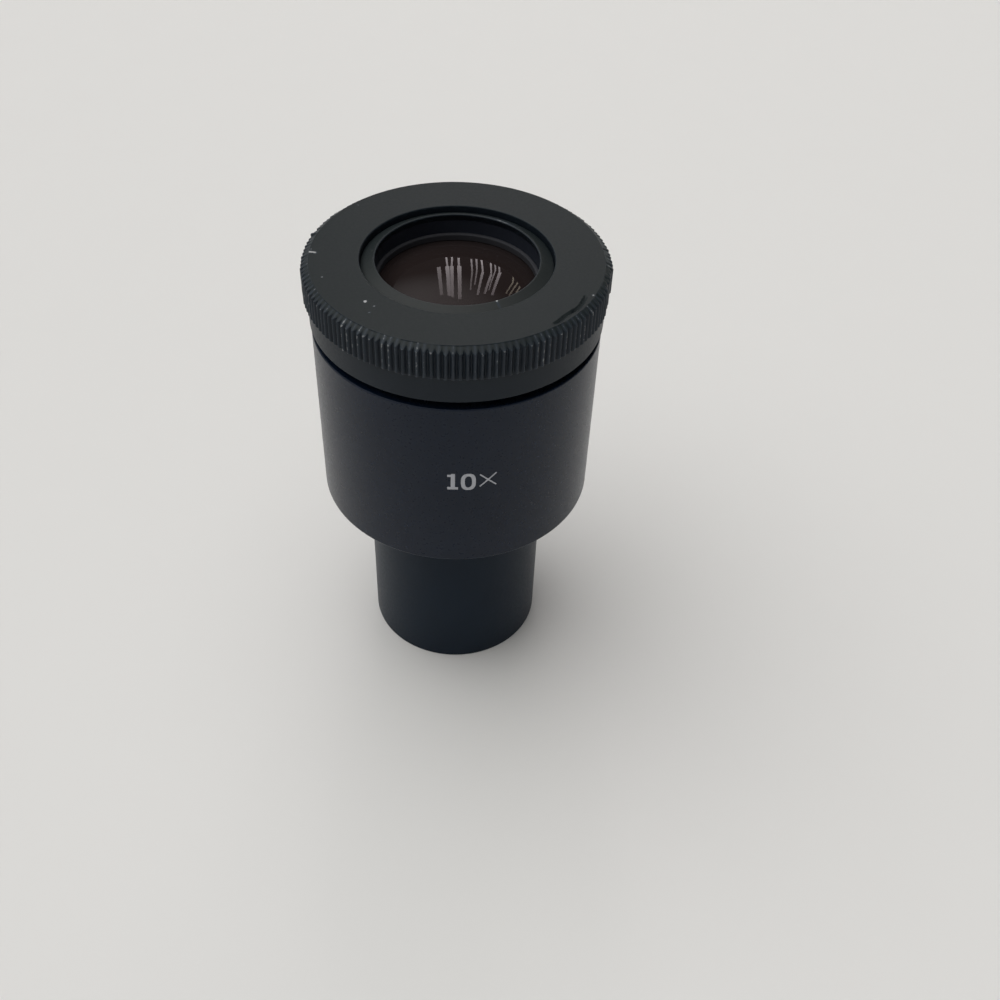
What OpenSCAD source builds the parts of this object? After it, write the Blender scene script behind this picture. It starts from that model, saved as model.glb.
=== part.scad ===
// Focusing eyepiece for a 23.2 mm viewing tube.
// Millimetres. +Z is the optical axis, and the origin is the centre of the insertion tube's lower end.
// Threads are plain cylinders at their running diameters.

/* [Insertion tube] */
// Outer radius of the insertion tube, half of the 23.2 mm standard
tube_r = 11.6; // [11.5:0.1:11.7]
// Length of the insertion tube below the body's shoulder
tube_len = 26.4; // [25:0.1:28]
// Bore radius below the field stop
tube_bore_r = 10.8; // [10.7:0.05:10.9]
// Bore radius above the field stop
tube_neck_bore_r = 10.2; // [10.1:0.05:10.3]
// Radius of the threaded spigot that screws into the body
spigot_r = 11.1; // [11:0.05:11.2]

/* [Field stop] */
// Radius of the field stop's opening, half of the field number
stop_open_r = 10; // [9:0.1:10.05]
// Depth of the field stop below the body's shoulder
stop_depth = 10; // [9:0.5:11]
// Thickness of the field stop
stop_t = 1; // [0.8:0.1:1.2]
// Height of the threaded ring that holds the field stop
stop_clamp_h = 2; // [1.5:0.1:3]

/* [Body] */
// Outer radius of the body
body_r = 17.4; // [17.2:0.1:17.5]
// Height of the body
body_h = 24.1; // [24:0.1:25]
// Thickness of the body's floor, which carries the insertion tube
body_floor_t = 2.6; // [2.4:0.1:2.8]
// Radius of the cavity that the lens cell slides in
body_cavity_r = 14.4; // [14:0.1:14.6]
// Radius of the thread that takes the helicoid collar
collar_seat_r = 14.9; // [14.8:0.05:15]

/* [Focus ring] */
// Gap between the body and the focus ring as the photo shows it
groove_gap = 1.2; // [1.2:0.1:1.5]
// Height of the focus ring
ring_h = 7.4; // [7.2:0.1:7.6]
// Radius of the plain band under the knurl
band_r = 17.54; // [17.5:0.01:17.6]
// Height of the plain band
band_h = 3.2; // [3:0.1:3.4]
// Radius over the knurl's teeth
knurl_tip_r = 18.08; // [18:0.01:18.2]
// Depth of the knurl's teeth
knurl_depth = 0.38; // [0.3:0.01:0.4]
// Number of teeth round the knurl, at a pitch of 0.8 mm
knurl_teeth = 144; // [120:2:160]
// Share of the tooth pitch that is left flat at each tip
knurl_flat = 0.16; // [0.1:0.02:0.3]
// Radius of the flat top face
top_face_r = 17.1; // [16.9:0.05:17.2]
// Drop of the chamfer from the top face to the knurl
top_chamfer_h = 0.65; // [0.5:0.05:0.8]

/* [Eye opening] */
// Radius of the opening in the top face
eye_open_r = 11.3; // [11.25:0.05:11.35]
// Drop of the lens cell's neck below the top face
neck_drop = 1.12; // [1.1:0.01:1.15]
// Radius of the capture ring's crest, which stands over the eye lens's rim
capture_crest_r = 9.42; // [9.35:0.01:9.5]
// Drop of that crest below the top face
capture_crest_drop = 0.05; // [0.05:0.05:0.15]
// Drop of the capture ring's outer rim below the top face
capture_rim_drop = 0.9; // [0.8:0.05:1]
// Radius of the bore that the eye lens lies in
eye_bore_r = 9.75; // [9.7:0.05:9.75]
// Depth of the eye lens retainer below the top face
retainer_drop = 2.8; // [2.75:0.05:2.85]
// Clear radius of the eye lens
eye_clear_r = 9.3; // [9.2:0.05:9.35]

/* [Focusing helicoid] */
// Radius of the collar's male helicoid
helicoid_r = 15.6; // [15.5:0.05:15.65]
// Travel of the lens cell below its place in the photo
travel_down = 0.9; // [0.5:0.1:0.9]
// Travel of the lens cell above its place in the photo
travel_up = 2.35; // [1.5:0.05:2.35]
// Radial clearance of every fit that turns or slides
running_gap = 0.05; // [0.04:0.01:0.06]
// Gap that is left where the travel ends
stop_gap = 0.3; // [0.2:0.05:0.3]

/* [Lens cell] */
// Outer radius of the lens cell where it slides in the collar
cell_r = 13.25; // [13.2:0.05:13.3]
// Outer radius of the lens cell below its slide
cell_low_r = 12.6; // [12.5:0.1:12.8]
// Radius of the neck that the focus ring turns on
neck_r = 10.5; // [10.45:0.05:10.55]
// Width of the guide keys
key_w = 2; // [1.6:0.1:2.4]
// Height of the guide keys, with their round ends
key_h = 4; // [3.4:0.1:4.4]
// Depth of the keyways in the lens cell
keyway_depth = 1; // [0.8:0.1:1]

/* [Optics] */
// Radius of the eye lens pair
eye_lens_r = 9.7; // [9.6:0.05:9.7]
// Radius of the middle lens and of the field lens pair
field_lens_r = 11.4; // [11.2:0.1:11.4]
// Depth of the eye lens's crest below the top face
eye_crest_drop = 2.05; // [2:0.05:2.2]
// Curve of the eye lens's outer face
eye_outer_curve = 28; // [27:0.5:30]
// Curve of the eye pair's cemented face
eye_cement_curve = 22; // [21:0.5:24]
// Curve of the eye pair's inner face
eye_inner_curve = 80; // [70:5:120]
// Curve of both faces of the middle lens
middle_curve = 34; // [32:1:38]
// Curve of the field pair's inner face
field_inner_curve = 30; // [29:0.5:34]
// Curve of the field pair's cemented face
field_cement_curve = 24; // [23:0.5:26]
// Hollow curve of the field pair's outer face
field_outer_curve = 100; // [90:5:150]

/* [Hidden] */
$fn = 120;
lens_facets = 240;

// Colours
black_anodised = [0.13, 0.14, 0.15];
matt_black = [0.05, 0.05, 0.06];
washer_white = [0.86, 0.86, 0.83];
key_brass = [0.78, 0.62, 0.32];
screw_steel = [0.62, 0.63, 0.65];
crown_glass = [0.42, 0.34, 0.36, 0.7];
flint_glass = [0.36, 0.36, 0.42, 0.7];

// Small breaks of the edges
edge_break = 0.15;
thread_chamfer = 0.3;
thread_gap = 0.02;
seat_gap = 0.015;

// Heights of the outer pieces
body_low = tube_len;
body_top = body_low + body_h;
ring_low = body_top + groove_gap;
knurl_low = ring_low + band_h;
top = ring_low + ring_h;
knurl_root_r = knurl_tip_r - knurl_depth;
floor_top = body_low + body_floor_t;

// Heights round the focus ring's bearing on the lens cell, counted down from the top face
lip_t = 0.8;
lip_low = top - 2.8;
lip_top = lip_low + lip_t;
upper_washer_t = 0.16;
lower_washer_t = 0.25;
washer_play = 0.02;
capture_low = lip_top + upper_washer_t + 2 * washer_play;
neck_top = top - neck_drop;
capture_rim_z = top - capture_rim_drop;
capture_crest_z = top - capture_crest_drop;
cell_top = lip_low - lower_washer_t - 2 * washer_play;
lip_r = neck_r + running_gap;
capture_r = eye_open_r - 2 * running_gap;

// Helicoid and its collar
ring_thread_r = helicoid_r + running_gap;
collar_top = lip_low - travel_down - stop_gap;
collar_thread_h = 5.9;
collar_low = body_top - collar_thread_h;
collar_bore_r = cell_r + running_gap;
collar_thread_r = collar_seat_r - thread_gap;

// Guide keys, one on each side of X
key_mid = body_top - 2.5;
key_tip_r = cell_r - keyway_depth + 2 * running_gap;
key_back_r = collar_bore_r + 0.65;
key_screw_r = 0.7;
key_head_r = 1.2;
key_head_t = 0.7;
keyway_low = key_mid - key_h / 2 - travel_up - stop_gap;
keyway_top = key_mid + key_h / 2 + travel_down + stop_gap;

// Crests of the glass faces, from the eye down
eye_crest = top - eye_crest_drop;
eye_cement = eye_crest - 5.05;
eye_base = eye_cement - 2.2;
middle_crest = eye_base - 2.2;
middle_base = middle_crest - 6;
field_crest = middle_base - 1;
field_cement = field_crest - 6.4;
field_base = field_cement - 1.6;
cement_t = 0.01;

// Seats of the glass in the lens cell
ledge_r = 8.8;
ledge_top = eye_base + sag(ledge_r, eye_inner_curve) - seat_gap;
ledge_low = middle_crest - sag(ledge_r, middle_curve) + seat_gap;
cell_bore_r = field_lens_r + 0.1;
eye_seat_r = eye_bore_r + 0.03;
eye_grip_r = eye_clear_r + 0.2;
retainer_low = eye_crest - sag(eye_grip_r, eye_outer_curve) + seat_gap;
retainer_top = top - retainer_drop;
field_retainer_top = field_base - sag(field_lens_r, field_outer_curve) - seat_gap;
cell_low = field_retainer_top - 1.5;
cell_slide_low = collar_low - travel_up - stop_gap;
spacer_r = 10.2;
spacer_low = field_crest - sag(spacer_r, field_inner_curve) + seat_gap;
spacer_top = middle_base + sag(spacer_r, middle_curve) - seat_gap;

// Field stop
stop_low = body_low - stop_depth;
stop_top = stop_low + stop_t;

// Depth of a round glass face with the given curve at the radius r
function sag(r, curve) = curve - sqrt(curve * curve - r * r);

// One closed outline of radius and height, turned about the axis
module turned(outline) {
    rotate_extrude() polygon(outline);
}

// A ball whose highest point is on the axis at z, or whose lowest point is when up is false
module ball(curve, z, up = true) {
    translate([0, 0, up ? z - curve : z + curve]) sphere(r = curve, $fn = lens_facets);
}

// The plain edge of a lens between two heights
module lens_edge(r, low, high) {
    translate([0, 0, low]) cylinder(r = r, h = high - low, $fn = lens_facets);
}

// A block with round ends that stands out along +X from r_in to r_out
module feather(w, low, high, r_in, r_out) {
    length = r_out - r_in;
    translate([r_in, -w / 2, low + w / 2]) cube([length, w, high - low - w]);
    for (z = [low + w / 2, high - w / 2])
        translate([r_in, 0, z]) rotate([0, 90, 0]) cylinder(d = w, h = length, $fn = 48);
}

// The same thing on both sides of the axis along X
module both_sides() {
    for (turn = [0, 180]) rotate([0, 0, turn]) children();
}

// Two slots for a pin spanner across a ring, cut from z upwards
module spanner_slots(w, z, depth, r_in, r_out) {
    both_sides() translate([r_in, -w / 2, z]) cube([r_out - r_in, w, depth]);
}

// Outline of the knurl, with a flat tip and a sharp root to each tooth
module knurl_outline() {
    pitch = 360 / knurl_teeth;
    polygon([
        for (i = [0 : knurl_teeth - 1])
            for (corner = [[knurl_root_r, -0.5], [knurl_tip_r, -knurl_flat / 2], [knurl_tip_r, knurl_flat / 2]])
                let (a = (i + corner[1]) * pitch)
                corner[0] * [cos(a), sin(a)]
    ]);
}

module focus_ring() {
    lead_in = knurl_tip_r - band_r;
    color(black_anodised) difference() {
        union() {
            turned([
                [lip_r, ring_low], [band_r - edge_break, ring_low], [band_r, ring_low + edge_break],
                [band_r, knurl_low], [band_r, knurl_low + 0.1], [lip_r, knurl_low + 0.1]
            ]);
            intersection() {
                translate([0, 0, knurl_low]) linear_extrude(height = top - knurl_low) knurl_outline();
                turned([
                    [0, knurl_low], [band_r, knurl_low], [band_r + lead_in + 0.02, knurl_low + lead_in / 2],
                    [knurl_tip_r + 0.02, top - top_chamfer_h], [top_face_r, top], [0, top]
                ]);
            }
        }
        turned([
            [0, ring_low - 1], [ring_thread_r + thread_chamfer, ring_low - 1],
            [ring_thread_r + thread_chamfer, ring_low], [ring_thread_r, ring_low + thread_chamfer],
            [ring_thread_r, lip_low - 0.5], [ring_thread_r + 0.25, lip_low - 0.4],
            [ring_thread_r + 0.25, lip_low], [lip_r, lip_low], [lip_r, lip_top], [eye_open_r, lip_top],
            [eye_open_r, top - edge_break], [eye_open_r + edge_break, top],
            [eye_open_r + edge_break, top + 1], [0, top + 1]
        ]);
    }
}

module body_sleeve() {
    hole_r = spigot_r + thread_gap;
    relief = 0.3;
    color(black_anodised) turned([
        [hole_r, body_low], [body_r - edge_break, body_low], [body_r, body_low + edge_break],
        [body_r, body_top - edge_break], [body_r - edge_break, body_top],
        [collar_seat_r + thread_chamfer, body_top], [collar_seat_r, body_top - thread_chamfer],
        [collar_seat_r, collar_low], [collar_seat_r + relief, collar_low - relief],
        [collar_seat_r + relief, collar_low - 2 * relief], [body_cavity_r, collar_low - 2 * relief],
        [body_cavity_r, floor_top], [hole_r + thread_chamfer, floor_top], [hole_r, floor_top - thread_chamfer]
    ]);
}

module insertion_tube() {
    chamfer = 0.2;
    relief = 0.15;
    color(black_anodised) turned([
        [tube_bore_r + edge_break, 0], [tube_r - chamfer, 0], [tube_r, chamfer],
        [tube_r, tube_len], [spigot_r - relief, tube_len], [spigot_r - relief, tube_len + 3 * relief],
        [spigot_r, tube_len + 4 * relief], [spigot_r, floor_top - relief], [spigot_r - relief, floor_top],
        [tube_neck_bore_r, floor_top], [tube_neck_bore_r, stop_top + seat_gap],
        [tube_bore_r, stop_top + seat_gap], [tube_bore_r, edge_break]
    ]);
}

module helicoid_collar() {
    undercut = 0.3;
    color(black_anodised) difference() {
        turned([
            [collar_bore_r, collar_low], [collar_thread_r - thread_chamfer, collar_low],
            [collar_thread_r, collar_low + thread_chamfer], [collar_thread_r, body_top - 2 * undercut],
            [collar_thread_r - undercut, body_top - undercut], [collar_thread_r - undercut, body_top],
            [helicoid_r, body_top], [helicoid_r, collar_top - thread_chamfer],
            [helicoid_r - thread_chamfer, collar_top], [collar_bore_r + edge_break, collar_top],
            [collar_bore_r, collar_top - edge_break]
        ]);
        both_sides() {
            feather(key_w + 2 * thread_gap, key_mid - key_h / 2 - thread_gap,
                key_mid + key_h / 2 + thread_gap, collar_bore_r - 1, key_back_r + thread_gap);
            translate([key_back_r - 0.5, 0, key_mid]) rotate([0, 90, 0])
                cylinder(r = key_screw_r + thread_gap, h = 3, $fn = 48);
            translate([collar_thread_r - key_head_t - 2 * thread_gap, 0, key_mid]) rotate([0, 90, 0])
                cylinder(r = key_head_r + thread_gap, h = 3, $fn = 48);
        }
        rotate([0, 0, 90]) spanner_slots(2, collar_top - 0.9, 2, collar_bore_r - 1, helicoid_r + 1);
    }
}

module guide_keys() {
    color(key_brass) both_sides() difference() {
        feather(key_w, key_mid - key_h / 2, key_mid + key_h / 2, key_tip_r, key_back_r);
        translate([key_tip_r + 0.3, 0, key_mid]) rotate([0, 90, 0])
            cylinder(r = key_screw_r + thread_gap, h = 3, $fn = 48);
    }
}

module guide_key_screws() {
    shank_in = key_tip_r + 0.4;
    head_in = collar_thread_r - key_head_t;
    color(screw_steel) both_sides() difference() {
        translate([0, 0, key_mid]) rotate([0, 90, 0]) {
            translate([0, 0, shank_in]) cylinder(r = key_screw_r, h = head_in - shank_in, $fn = 48);
            translate([0, 0, head_in]) cylinder(r = key_head_r, h = key_head_t - 0.05, $fn = 48);
        }
        translate([head_in + 0.35, -2, key_mid - 0.15]) cube([2, 4, 0.3]);
    }
}

module lens_cell() {
    color(black_anodised) difference() {
        turned([
            [cell_bore_r + thread_chamfer, cell_low], [cell_low_r - edge_break, cell_low],
            [cell_low_r, cell_low + edge_break], [cell_low_r, cell_slide_low - 0.5],
            [cell_r, cell_slide_low], [cell_r, cell_top - edge_break], [cell_r - edge_break, cell_top],
            [neck_r, cell_top], [neck_r, neck_top - edge_break], [neck_r - edge_break, neck_top],
            [eye_seat_r, neck_top], [eye_seat_r, ledge_top], [ledge_r, ledge_top], [ledge_r, ledge_low],
            [cell_bore_r, ledge_low], [cell_bore_r, cell_low + thread_chamfer]
        ]);
        both_sides()
            feather(key_w + 2 * running_gap, keyway_low, keyway_top, cell_r - keyway_depth, cell_r + 1);
    }
}

module capture_ring() {
    r = capture_crest_r;
    z = capture_crest_z;
    color(black_anodised) turned([
        [eye_seat_r, neck_top + washer_play], [r, z - 0.16], [r + 0.05, z - 0.05], [r + 0.16, z],
        [r + 0.32, z - 0.03], [capture_r - 0.1, capture_rim_z + 0.06], [capture_r, capture_rim_z - 0.04],
        [capture_r, capture_low], [neck_r + thread_gap, capture_low],
        [neck_r + thread_gap, neck_top + washer_play]
    ]);
}

module washer(r_in, r_out, low, t) {
    turned([[r_in, low], [r_out, low], [r_out, low + t], [r_in, low + t]]);
}

module upper_thrust_washer() {
    color(washer_white) washer(neck_r + 0.1, capture_r - 0.05, lip_top + washer_play, upper_washer_t);
}

module lower_thrust_washer() {
    color(washer_white) washer(neck_r + 0.1, cell_r - 0.25, cell_top + washer_play, lower_washer_t);
}

module eye_lens_retainer() {
    bevel = 0.1;
    color(matt_black) turned([
        [eye_clear_r, eye_crest - sag(eye_clear_r, eye_outer_curve) + 0.05], [eye_grip_r, retainer_low],
        [eye_bore_r, retainer_low], [eye_bore_r, retainer_top], [eye_clear_r + bevel, retainer_top],
        [eye_clear_r, retainer_top - bevel]
    ]);
}

module eye_lens_crown() {
    color(crown_glass) intersection() {
        lens_edge(eye_lens_r, eye_cement - 1, eye_crest + 1);
        ball(eye_outer_curve, eye_crest);
        ball(eye_cement_curve, eye_cement, up = false);
    }
}

module eye_lens_flint() {
    color(flint_glass) difference() {
        intersection() {
            lens_edge(eye_lens_r, eye_base - 1, eye_cement + sag(eye_lens_r, eye_cement_curve));
            ball(eye_inner_curve, eye_base, up = false);
        }
        ball(eye_cement_curve + cement_t, eye_cement - cement_t, up = false);
    }
}

module middle_lens() {
    color(crown_glass) intersection() {
        lens_edge(field_lens_r, middle_base - 1, middle_crest + 1);
        ball(middle_curve, middle_crest);
        ball(middle_curve, middle_base, up = false);
    }
}

module lens_spacer() {
    wall_r = cell_bore_r - 0.04;
    color(matt_black) turned([
        [spacer_r, spacer_low], [wall_r, spacer_low], [wall_r, spacer_top], [spacer_r, spacer_top]
    ]);
}

module field_lens_crown() {
    color(crown_glass) intersection() {
        lens_edge(field_lens_r, field_cement - 1, field_crest + 1);
        ball(field_inner_curve, field_crest);
        ball(field_cement_curve, field_cement, up = false);
    }
}

module field_lens_flint() {
    color(flint_glass) difference() {
        lens_edge(field_lens_r, field_base - 1, field_cement + sag(field_lens_r, field_cement_curve));
        ball(field_cement_curve + cement_t, field_cement - cement_t, up = false);
        ball(field_outer_curve, field_base);
    }
}

module field_lens_retainer() {
    color(matt_black) difference() {
        turned([
            [9.8, cell_low], [cell_bore_r - thread_gap, cell_low],
            [cell_bore_r - thread_gap, field_retainer_top], [10.1, field_retainer_top], [9.8, field_retainer_top - 0.3]
        ]);
        spanner_slots(1.6, cell_low - 1, 1.6, 10.4, cell_bore_r + 1);
    }
}

module field_stop() {
    color(matt_black) turned([
        [stop_open_r, stop_low], [tube_bore_r - thread_gap, stop_low], [tube_bore_r - thread_gap, stop_top],
        [tube_neck_bore_r, stop_top], [stop_open_r, stop_low + 0.2]
    ]);
}

module field_stop_clamp() {
    open_r = stop_open_r + 0.1;
    clamp_top = stop_low - seat_gap;
    color(matt_black) difference() {
        turned([
            [open_r, clamp_top - stop_clamp_h], [tube_bore_r - thread_gap, clamp_top - stop_clamp_h],
            [tube_bore_r - thread_gap, clamp_top], [open_r, clamp_top]
        ]);
        spanner_slots(1.6, clamp_top - stop_clamp_h - 1, 1.6, open_r - 1, tube_bore_r + 1);
    }
}

focus_ring();
body_sleeve();
insertion_tube();
helicoid_collar();
guide_keys();
guide_key_screws();
lens_cell();
capture_ring();
upper_thrust_washer();
lower_thrust_washer();
eye_lens_retainer();
eye_lens_crown();
eye_lens_flint();
middle_lens();
lens_spacer();
field_lens_crown();
field_lens_flint();
field_lens_retainer();
field_stop();
field_stop_clamp();
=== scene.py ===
"""Looks of the focusing eyepiece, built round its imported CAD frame. +Z is the optical axis.

The scene is in metres. The outlines below are in millimetres, as radius and height, and MM turns them
into metres.
"""
import math

import bmesh
import bpy
import numpy as np
from mathutils import Matrix, Vector
from mathutils.bvhtree import BVHTree
from mathutils.geometry import tessellate_polygon


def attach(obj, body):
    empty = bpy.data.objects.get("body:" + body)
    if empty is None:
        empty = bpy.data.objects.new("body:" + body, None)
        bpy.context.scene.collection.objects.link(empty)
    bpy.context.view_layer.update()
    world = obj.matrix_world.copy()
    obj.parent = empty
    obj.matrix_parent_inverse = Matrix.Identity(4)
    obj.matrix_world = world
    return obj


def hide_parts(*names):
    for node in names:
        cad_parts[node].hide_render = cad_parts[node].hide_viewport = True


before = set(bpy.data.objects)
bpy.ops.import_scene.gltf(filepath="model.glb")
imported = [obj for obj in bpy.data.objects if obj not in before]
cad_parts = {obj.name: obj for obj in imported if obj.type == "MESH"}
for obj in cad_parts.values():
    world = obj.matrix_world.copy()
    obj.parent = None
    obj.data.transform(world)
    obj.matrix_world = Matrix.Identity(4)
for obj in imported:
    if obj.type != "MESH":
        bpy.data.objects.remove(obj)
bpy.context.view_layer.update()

MM = 0.001
SEED = 7

# Image points, in pixels of the 1000 x 1000 photograph
FRAME_W = 1000
FRAME_H = 1000
IMAGE_POINTS = {
    "object_left": (298.4, 266.0),
    "object_right": (613.4, 266.0),
    "object_top": (453.0, 177.5),
    "object_bottom": (457.0, 654.5),
    "body_left": (329.8, 488.0),
    "body_right": (581.1, 488.0),
    "tube_left": (374.5, 552.0),
    "tube_right": (534.5, 552.0),
    "opening_left": (358.5, 257.0),
    "opening_right": (555.5, 256.0),
    "opening_far": (456.0, 203.0),
    "body_rim_front": (450.0, 409.0),
    "mark_one": (452.6, 481.7),
    "mark_zero": (468.4, 481.9),
    "mark_cross": (488.2, 479.4),
    "scratch": (312.0, 252.0),
    "speck_near": (365.2, 301.5),
    "speck_far": (358.0, 205.0),
    "gouge": (572.0, 310.0),
    "nick": (308.0, 232.5),
}

# Camera
CAMERA_DISTANCE = 0.16078
CAMERA_ELEVATION = 44.20
CAMERA_YAW = -2.18
CAMERA_PITCH = -0.03
CAMERA_ROLL = -0.36
CAMERA_AIM_Z = 0.020
FOCAL_PIXELS = 1156.66
SENSOR_WIDTH = 36.0

# Heights and radii of the CAD model, in millimetres
BODY_LOW, BODY_TOP, BODY_R = 26.4, 50.5, 17.4
RING_LOW, KNURL_LOW, TOP = 51.7, 54.9, 59.1
BAND_R, KNURL_TIP_R, GROOVE_R = 17.54, 18.08, 17.62
TOP_FACE_R, CHAMFER_H = 17.1, 0.65
KNURL_TEETH, COLUMNS_PER_TOOTH = 144, 8
OPENING_R, LIP_R, RING_THREAD_R = 11.3, 10.55, 15.65
COLLAR_R, COLLAR_TOP, THREAD_DEPTH = 15.6, 55.1, 0.33
LEAD, STARTS = 4.5, 3
EYE_CREST, EYE_CURVE = TOP - 2.05, 28.0


def camera_axes():
    """The camera's right, up and forward, turned about its own axes from a level aim at the axis."""
    e = math.radians(CAMERA_ELEVATION)
    forward = Vector((0, math.cos(e), -math.sin(e)))
    right = Vector((1, 0, 0))
    up = right.cross(forward)
    yaw = Matrix.Rotation(math.radians(CAMERA_YAW), 3, up)
    forward, right = yaw @ forward, yaw @ right
    pitch = Matrix.Rotation(math.radians(CAMERA_PITCH), 3, right)
    forward, up = pitch @ forward, pitch @ up
    roll = Matrix.Rotation(math.radians(CAMERA_ROLL), 3, forward)
    return roll @ right, roll @ up, forward


def aim_camera():
    """The camera of the photograph."""
    e = math.radians(CAMERA_ELEVATION)
    place = Vector((0, -CAMERA_DISTANCE * math.cos(e), CAMERA_DISTANCE * math.sin(e) + CAMERA_AIM_Z))
    right, up, forward = camera_axes()
    camera = bpy.data.objects.new("camera", bpy.data.cameras.new("camera"))
    camera.data.sensor_fit = "AUTO"
    camera.data.sensor_width = SENSOR_WIDTH
    camera.data.lens = FOCAL_PIXELS * SENSOR_WIDTH / FRAME_W
    camera.data.clip_start = 0.005
    camera.data.clip_end = 20
    turn = Matrix((right, up, -forward)).transposed().to_4x4()
    camera.matrix_world = Matrix.Translation(place) @ turn
    bpy.context.scene.collection.objects.link(camera)
    bpy.context.scene.camera = camera
    bpy.context.view_layer.update()
    return camera


camera = aim_camera()


def project(points):
    """Pixels of points in metres, as an array of x and y."""
    seat = camera.matrix_world
    local = (np.asarray(points) - np.array(seat.translation)) @ np.array(seat.to_3x3())
    side = max(FRAME_W, FRAME_H)
    scale = side * camera.data.lens / camera.data.sensor_width / -local[..., 2]
    x = FRAME_W / 2 - camera.data.shift_x * side + local[..., 0] * scale
    y = FRAME_H / 2 + camera.data.shift_y * side - local[..., 1] * scale
    return np.stack((x, y), -1)


def place(point, tree):
    """Where an image point meets a surface, and the normal there. A miss takes the place nearest the ray."""
    side = max(FRAME_W, FRAME_H)
    shift_x, shift_y = camera.data.shift_x, camera.data.shift_y
    ray = Vector((
        point[0] - FRAME_W / 2 + shift_x * side,
        FRAME_H / 2 - point[1] + shift_y * side,
        -side * camera.data.lens / camera.data.sensor_width,
    ))
    origin = camera.matrix_world.translation
    ray = (camera.matrix_world.to_3x3() @ ray).normalized()
    hit, normal, _, _ = tree.ray_cast(origin, ray)
    if hit is not None:
        return hit, normal
    reach = CAMERA_DISTANCE
    for _ in range(40):
        hit, normal, _, _ = tree.find_nearest(origin + ray * reach)
        reach = (hit - origin).dot(ray)
    return hit, normal


# ---------------------------------------------------------------- shapes

# Points round a corner, the distance of the points that hold its sides straight, and a sharp edge's wear
CORNER_STEPS, CORNER_SUPPORT, EDGE_WEAR = 5, 0.06, 0.15


def turned_corner(before, here, after, rounding):
    """The points of one round corner, each as radius, height and how far it is on an edge."""
    back, ahead = before - here, after - here
    back_len, ahead_len = np.linalg.norm(back), np.linalg.norm(ahead)
    back, ahead = back / back_len, ahead / ahead_len
    half = math.acos(max(-1, min(1, float(back @ ahead)))) / 2
    if rounding <= 0 or abs(half - math.pi / 2) < 0.01:
        return [(*here, 0.0)]
    cut = min(rounding / math.tan(half), 0.4 * back_len, 0.4 * ahead_len)
    radius = cut * math.tan(half)
    middle = (back + ahead) / np.linalg.norm(back + ahead)
    centre = here + middle * radius / math.sin(half)
    first, last = here + back * cut, here + ahead * cut
    a = math.atan2(*(first - centre)[::-1])
    b = math.atan2(*(last - centre)[::-1])
    sweep = (b - a + math.pi) % (2 * math.pi) - math.pi
    out = [(*(first + back * CORNER_SUPPORT), 0.0)] if back_len > 3 * cut + CORNER_SUPPORT else []
    for k in range(CORNER_STEPS + 1):
        t = a + sweep * k / CORNER_STEPS
        edge = EDGE_WEAR * math.sin(math.pi * k / CORNER_STEPS)
        out.append((centre[0] + radius * math.cos(t), centre[1] + radius * math.sin(t), edge))
    if ahead_len > 3 * cut + CORNER_SUPPORT:
        out.append((*(last + ahead * CORNER_SUPPORT), 0.0))
    return out


def rounded(corners):
    """An outline with round corners. Each corner is radius, height and rounding, and each point of the
    result is radius, height and how far it is on an edge, from 0 to 1."""
    out = []
    for i, corner in enumerate(corners):
        before, here, after = (np.array(corners[k % len(corners)][:2], float) for k in (i - 1, i, i + 1))
        out += turned_corner(before, here, after, corner[2])
    return np.array(out)


def around(r, z, a):
    """The points at radii, heights and angles about the axis."""
    return np.stack(np.broadcast_arrays(r * np.cos(a), r * np.sin(a), z), -1)


def refine(outline, longest, test=None):
    """Splits the outline's steps that are longer than the given length, where the test passes."""
    out = []
    for here, ahead in zip(outline, np.roll(outline, -1, 0)):
        out.append(here)
        length = math.hypot(*(ahead - here)[:2])
        if test is None or (test(*here[:2]) and test(*ahead[:2])):
            parts = int(math.ceil(length / longest))
            out.extend(here + (ahead - here) * k / parts for k in range(1, parts))
    return np.array(out)


def lathe(name, outline, columns=288, reshape=None):
    """A closed outline, counter-clockwise with the radius to the right, turned about the axis. reshape may
    change the arrays of radius, height and edge at each angle."""
    angles = np.arange(columns) * (2 * math.pi / columns)
    a = np.repeat(angles[:, None], len(outline), 1)
    r, z, edge = (np.repeat(outline[None, :, k], columns, 0).copy() for k in range(3))
    if reshape is not None:
        r, z, edge = reshape(r, z, edge, a)
    co = around(r, z, a).reshape(-1, 3) * MM
    i, j = np.meshgrid(np.arange(len(outline)), np.arange(columns))
    ahead, beside = (i + 1) % len(outline), (j + 1) % columns
    n = len(outline)
    quads = np.stack((j * n + i, beside * n + i, beside * n + ahead, j * n + ahead), -1).reshape(-1, 4)
    return build(name, co, quads, edge.reshape(-1))


def build(name, co, faces, edge=None):
    """A smooth-shaded mesh object, with its edge attribute."""
    mesh = bpy.data.meshes.new(name)
    mesh.from_pydata(co.tolist(), [], faces if isinstance(faces, list) else faces.tolist())
    mesh.shade_smooth()
    if edge is not None:
        attribute = mesh.attributes.new("edge", "FLOAT", "POINT")
        attribute.data.foreach_set("value", np.asarray(edge, np.float32))
    mesh.update()
    piece = bpy.data.objects.new(name, mesh)
    bpy.context.scene.collection.objects.link(piece)
    return piece


def from_bmesh(name, bm):
    """A mesh object of what the bmesh holds."""
    mesh = bpy.data.meshes.new(name)
    bm.to_mesh(mesh)
    bm.free()
    piece = bpy.data.objects.new(name, mesh)
    bpy.context.scene.collection.objects.link(piece)
    return piece


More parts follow.
